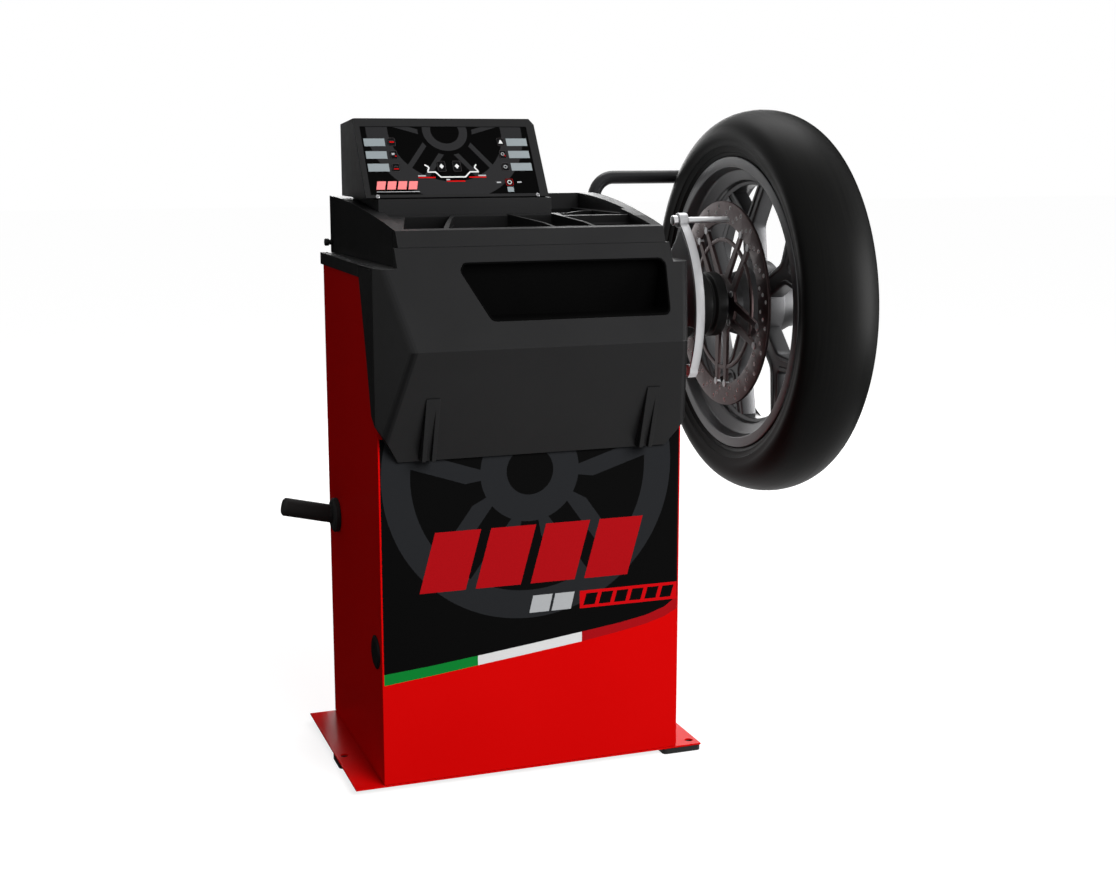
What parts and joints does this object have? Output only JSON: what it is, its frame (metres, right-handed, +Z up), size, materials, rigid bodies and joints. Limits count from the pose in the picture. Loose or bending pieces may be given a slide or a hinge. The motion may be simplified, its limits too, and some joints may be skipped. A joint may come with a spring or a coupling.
{
  "type": "motorcycle wheel balancer",
  "caption": "Floor-standing motorcycle wheel balancer: sheet-metal cabinet, weight tray, leaning display, driven spindle with a front wheel mounted on it, and a hinged guard tube.",
  "frame": {"origin": "on the floor, under the middle of the machine's whole length and depth", "axes": "+X along the spindle from the cabinet towards the wheel, +Y from the front panel to the back, +Z up"},
  "size_m": [0.888, 0.6, 0.966],
  "materials": {
    "red_paint": "gloss powder coat",
    "black_paint": "satin paint",
    "black_hub": "satin black",
    "black_plastic": "fine moulded grain",
    "rubber": "matt",
    "tyre_rubber": "new tyre",
    "bright_steel": "ground and bright",
    "grey_steel": "plain steel",
    "cast_wheel": "dark grey metallic paint",
    "disc_steel": "ground",
    "panel_film": "printed film",
    "key_film": "printed film",
    "circuit_board": "solder mask",
    "motor_housing": "plain paint"
  },
  "bodies": {
    "cabinet": {"base_plate": "red_paint", "foot_left": "rubber", "foot_front_right": "rubber", "foot_rear_right": "rubber", "cabinet_shell": "red_paint", "side_plug": "black_plastic", "rear_panel": "red_paint", "mains_inlet": "black_plastic", "top_lid": "black_plastic", "front_hood": "black_plastic", "pocket_liner": "black_plastic", "clip_rail_left": "black_plastic", "clip_rail_right": "black_plastic", "weight_tray": "black_plastic", "display_pedestal": "black_plastic", "display_case": "black_plastic", "display_bezel": "black_plastic", "film_panel": "panel_film", "display_board": "circuit_board", "accessory_peg": "rubber", "spindle_housing": "grey_steel", "front_bearing": "bright_steel", "rear_bearing": "bright_steel", "spindle_shelf": "grey_steel", "measuring_bracket": "grey_steel", "force_sensor_upright": "bright_steel", "force_sensor_level": "bright_steel", "drive_belt": "rubber", "drive_motor": "motor_housing", "motor_bracket": "grey_steel", "encoder_reader": "circuit_board", "power_board": "circuit_board", "guard_bracket": "black_paint"},
    "spindle": {"spindle_shaft": "bright_steel", "spindle_pulley": "grey_steel", "encoder_disc": "black_paint", "drive_arm_plate": "grey_steel", "drive_arm_bow": "bright_steel", "drive_pin": "bright_steel", "inner_cone": "black_hub"},
    "wheel": {"wheel_rim": "cast_wheel", "tyre": "tyre_rubber", "brake_disc": "disc_steel", "disc_carrier": "cast_wheel"},
    "clamp": {"outer_cone": "grey_steel", "quick_nut": "black_plastic"},
    "motor_drive": {"motor_pulley": "grey_steel"},
    "guard": {"guard_tube": "black_paint"},
    "rocker": {"switch_rocker": "black_plastic"},
    "button_left_top": {"key_left_top": "key_film"},
    "button_left_middle": {"key_left_middle": "key_film"},
    "button_left_low": {"key_left_low": "key_film"},
    "button_right_top": {"key_right_top": "key_film"},
    "button_right_middle": {"key_right_middle": "key_film"},
    "button_right_low": {"key_right_low": "key_film"},
    "button_centre_left": {"key_centre_left": "key_film"},
    "button_centre_right": {"key_centre_right": "key_film"},
    "button_start": {"key_start": "key_film"}
  },
  "joints": [
    {"name": "spindle_turn", "type": "hinge", "parent": "cabinet", "child": "spindle", "pos_m": [0.099, 0, 0.666], "axis": [1, 0, 0], "continuous": true},
    {"name": "wheel_slide", "type": "slide", "parent": "spindle", "child": "wheel", "axis": [1, 0, 0], "range_m": [0, 0.195]},
    {"name": "clamp_slide", "type": "slide", "parent": "wheel", "child": "clamp", "axis": [1, 0, 0], "range_m": [0, 0.085]},
    {"name": "motor_turn", "type": "hinge", "parent": "cabinet", "child": "motor_drive", "pos_m": [0.099, 0, 0.466], "axis": [1, 0, 0], "continuous": true},
    {"name": "guard_swing", "type": "hinge", "parent": "cabinet", "child": "guard", "pos_m": [0.125, 0.255, 0.695], "axis": [1, 0, 0], "range_deg": [-75, 0]},
    {"name": "rocker_tilt", "type": "hinge", "parent": "cabinet", "child": "rocker", "pos_m": [-0.272, 0.1581, 0.1978], "axis": [1, 0, 0], "range_deg": [0, 14]},
    {"name": "key_left_top_press", "type": "slide", "parent": "cabinet", "child": "button_left_top", "axis": [0, 0.8348, -0.5505], "range_m": [0, 0.0006], "stiffness_N_per_m": 800},
    {"name": "key_left_middle_press", "type": "slide", "parent": "cabinet", "child": "button_left_middle", "axis": [0, 0.8348, -0.5505], "range_m": [0, 0.0006], "stiffness_N_per_m": 800},
    {"name": "key_left_low_press", "type": "slide", "parent": "cabinet", "child": "button_left_low", "axis": [0, 0.8348, -0.5505], "range_m": [0, 0.0006], "stiffness_N_per_m": 800},
    {"name": "key_right_top_press", "type": "slide", "parent": "cabinet", "child": "button_right_top", "axis": [0, 0.8348, -0.5505], "range_m": [0, 0.0006], "stiffness_N_per_m": 800},
    {"name": "key_right_middle_press", "type": "slide", "parent": "cabinet", "child": "button_right_middle", "axis": [0, 0.8348, -0.5505], "range_m": [0, 0.0006], "stiffness_N_per_m": 800},
    {"name": "key_right_low_press", "type": "slide", "parent": "cabinet", "child": "button_right_low", "axis": [0, 0.8348, -0.5505], "range_m": [0, 0.0006], "stiffness_N_per_m": 800},
    {"name": "key_centre_left_press", "type": "slide", "parent": "cabinet", "child": "button_centre_left", "axis": [0, 0.8348, -0.5505], "range_m": [0, 0.0006], "stiffness_N_per_m": 800},
    {"name": "key_centre_right_press", "type": "slide", "parent": "cabinet", "child": "button_centre_right", "axis": [0, 0.8348, -0.5505], "range_m": [0, 0.0006], "stiffness_N_per_m": 800},
    {"name": "key_start_press", "type": "slide", "parent": "cabinet", "child": "button_start", "axis": [0, 0.8348, -0.5505], "range_m": [0, 0.0006], "stiffness_N_per_m": 800}
  ],
  "couplings": [
    {"joint": "motor_turn", "follows": "spindle_turn", "ratio": 3.0556}
  ]
}
